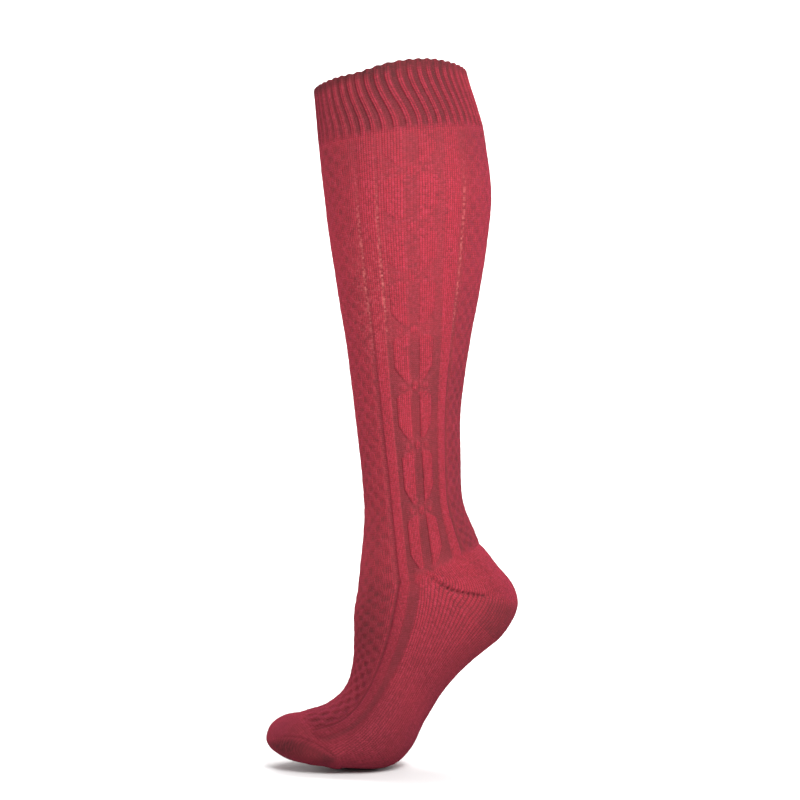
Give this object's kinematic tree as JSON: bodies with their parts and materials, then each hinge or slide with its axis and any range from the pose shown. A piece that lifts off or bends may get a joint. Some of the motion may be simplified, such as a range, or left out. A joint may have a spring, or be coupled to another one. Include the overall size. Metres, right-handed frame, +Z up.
{
  "type": "knee sock",
  "caption": "Knee-high knitted sock in its worn form, on tiptoe: ribbed cuff, cabled leg, short-row heel pocket, foot with a patterned instep and toe pocket, open and hollow",
  "frame": {"origin": "the middle of the opening at the top of the cuff", "axes": "+Z up, -X towards the toe, +X towards the heel, the sock alike on both sides of Y = 0"},
  "size_m": [0.1862, 0.1092, 0.5157],
  "materials": {
    "cuff_knit": "crimson wool rib, two by two, slightly fuzzy",
    "leg_knit": "crimson wool, cables and honeycomb on a purl ground",
    "heel_knit": "crimson wool, plain knit",
    "foot_knit": "crimson wool, patterned instep and plain sole",
    "toe_knit": "crimson wool, plain knit"
  },
  "bodies": {
    "root": {"cuff": "cuff_knit", "leg": "leg_knit", "heel": "heel_knit", "foot": "foot_knit", "toe": "toe_knit"}
  },
  "joints": []
}
